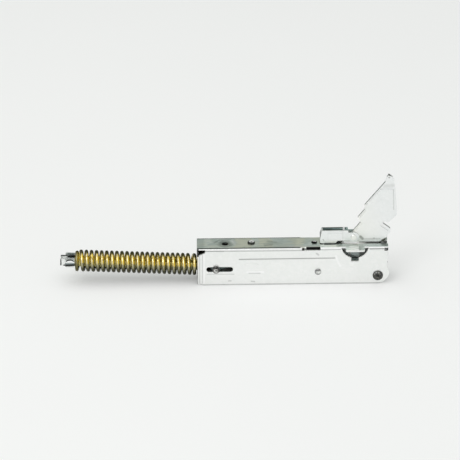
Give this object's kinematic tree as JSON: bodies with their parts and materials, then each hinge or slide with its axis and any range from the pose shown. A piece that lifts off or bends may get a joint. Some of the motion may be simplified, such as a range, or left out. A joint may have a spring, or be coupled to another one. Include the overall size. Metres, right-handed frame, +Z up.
{
  "type": "oven door hinge",
  "caption": "Oven door hinge: folded steel channel with a hooked arm on a pivot pin, a lock lever on the arm, and a pull rod that compresses a spring as the arm opens.",
  "frame": {"origin": "middle of the bounding box's bottom face, level with the channel's open edges", "axes": "+X along the channel towards the arm, +Z up through the web, +Y to the rear side"},
  "size_m": [0.2804, 0.033, 0.0947],
  "materials": {
    "zinc_sheet": "zinc coated sheet with a faint spangle",
    "arm_zinc": "zinc coated, matt",
    "lever_zinc": "zinc coated, matt",
    "rod_zinc": "zinc coated, bright",
    "inner_steel": "plain steel, oiled",
    "bright_rivet": "bright steel",
    "dark_pin": "dark, heat coloured steel",
    "yellow_spring": "yellow zinc passivated wire"
  },
  "bodies": {
    "housing": {"housing_shell": "zinc_sheet", "pivot_pin": "dark_pin", "pivot_spacer_front": "inner_steel", "pivot_spacer_rear": "inner_steel", "distance_rivet": "bright_rivet", "distance_sleeve": "inner_steel", "link_guide": "inner_steel", "guide_rivet": "bright_rivet", "spring": "yellow_spring"},
    "arm": {"arm_blade": "arm_zinc", "arm_doubler": "arm_zinc", "arm_rivets": "arm_zinc", "crank_pin": "inner_steel", "crank_washer_front": "inner_steel", "crank_washer_rear": "inner_steel", "lever_rivet": "arm_zinc"},
    "rod": {"pull_rod": "rod_zinc", "link_front": "inner_steel", "link_rear": "inner_steel", "crosshead_pin": "bright_rivet", "crosshead_roller_front": "inner_steel", "crosshead_roller_rear": "inner_steel"},
    "lever": {"lock_lever": "lever_zinc"}
  },
  "joints": [
    {"name": "arm_hinge", "type": "hinge", "parent": "housing", "child": "arm", "pos_m": [0.12438, 0, 0.0073], "axis": [0, 1, 0], "range_deg": [0, 90], "stiffness_Nm_per_rad": 0.5, "springref_deg": -45.84},
    {"name": "rod_slide", "type": "slide", "parent": "housing", "child": "rod", "axis": [1, 0, 0], "range_m": [0, 0.01104], "deforming": ["spring"]},
    {"name": "lever_hinge", "type": "hinge", "parent": "arm", "child": "lever", "pos_m": [0.10438, 0, 0.039], "axis": [0, 1, 0], "range_deg": [0, 94.5]}
  ],
  "couplings": [
    {"joint": "rod_slide", "follows": "arm_hinge", "m_per_rad": 0.0070225}
  ]
}
